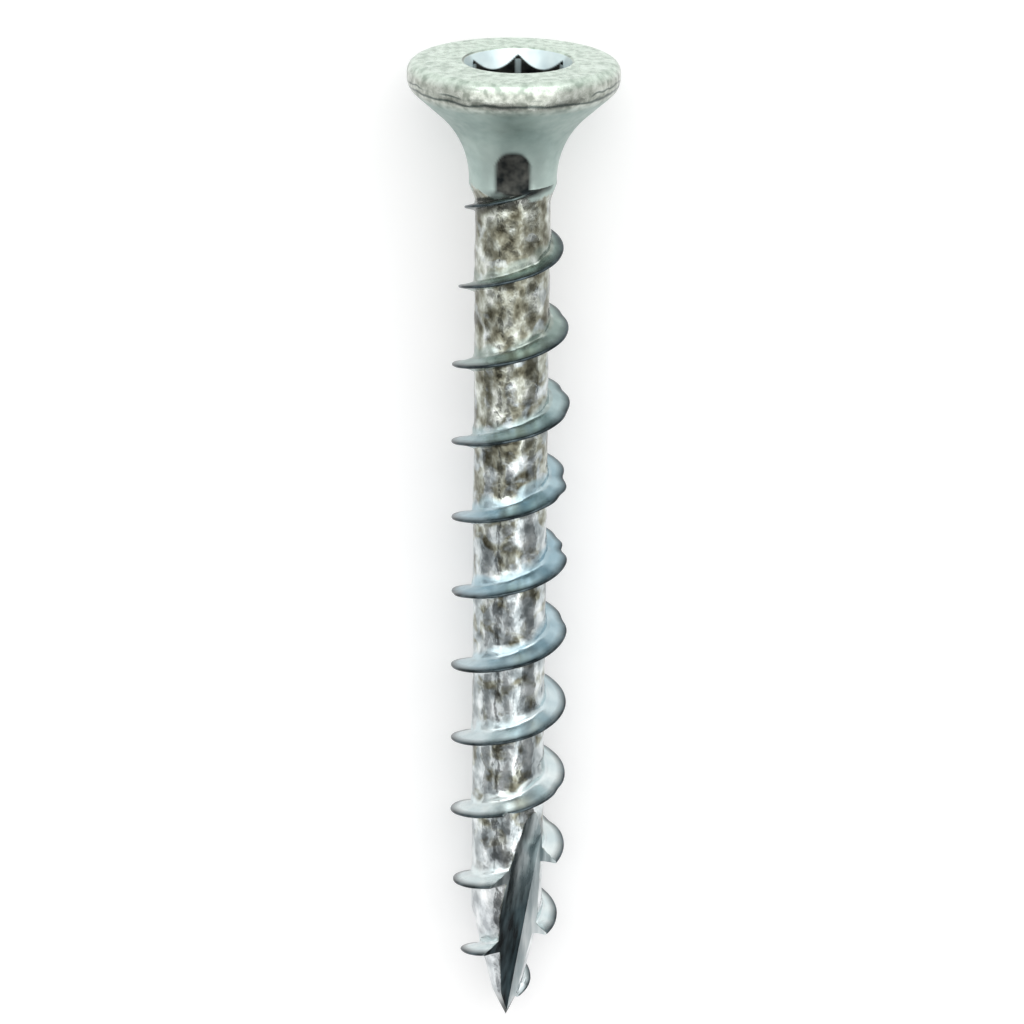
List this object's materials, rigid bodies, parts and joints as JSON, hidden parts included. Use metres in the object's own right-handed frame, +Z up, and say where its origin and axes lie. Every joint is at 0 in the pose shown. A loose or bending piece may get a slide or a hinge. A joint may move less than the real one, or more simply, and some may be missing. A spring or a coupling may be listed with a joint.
{
  "type": "hinge screw",
  "caption": "Countersunk wood screw with a six-sided drive socket, a smooth neck, a coarse thin right-hand thread to the head and a fluted sharp point; it lies on its side.",
  "frame": {"origin": "centre of the box's underside, on the ground under the middle of the lying screw", "axes": "+Z up; +Y from the point towards the head, along the lying screw; +X to the right when the flute is looked at from above with the head at the top"},
  "size_m": [0.0082, 0.0416, 0.0083],
  "materials": {
    "zinc_plated_steel": "zinc plate with a faint blue-green tint, satin on the head and brighter on the thread"
  },
  "bodies": {
    "root": {"hinge_screw": "zinc_plated_steel"}
  },
  "joints": []
}
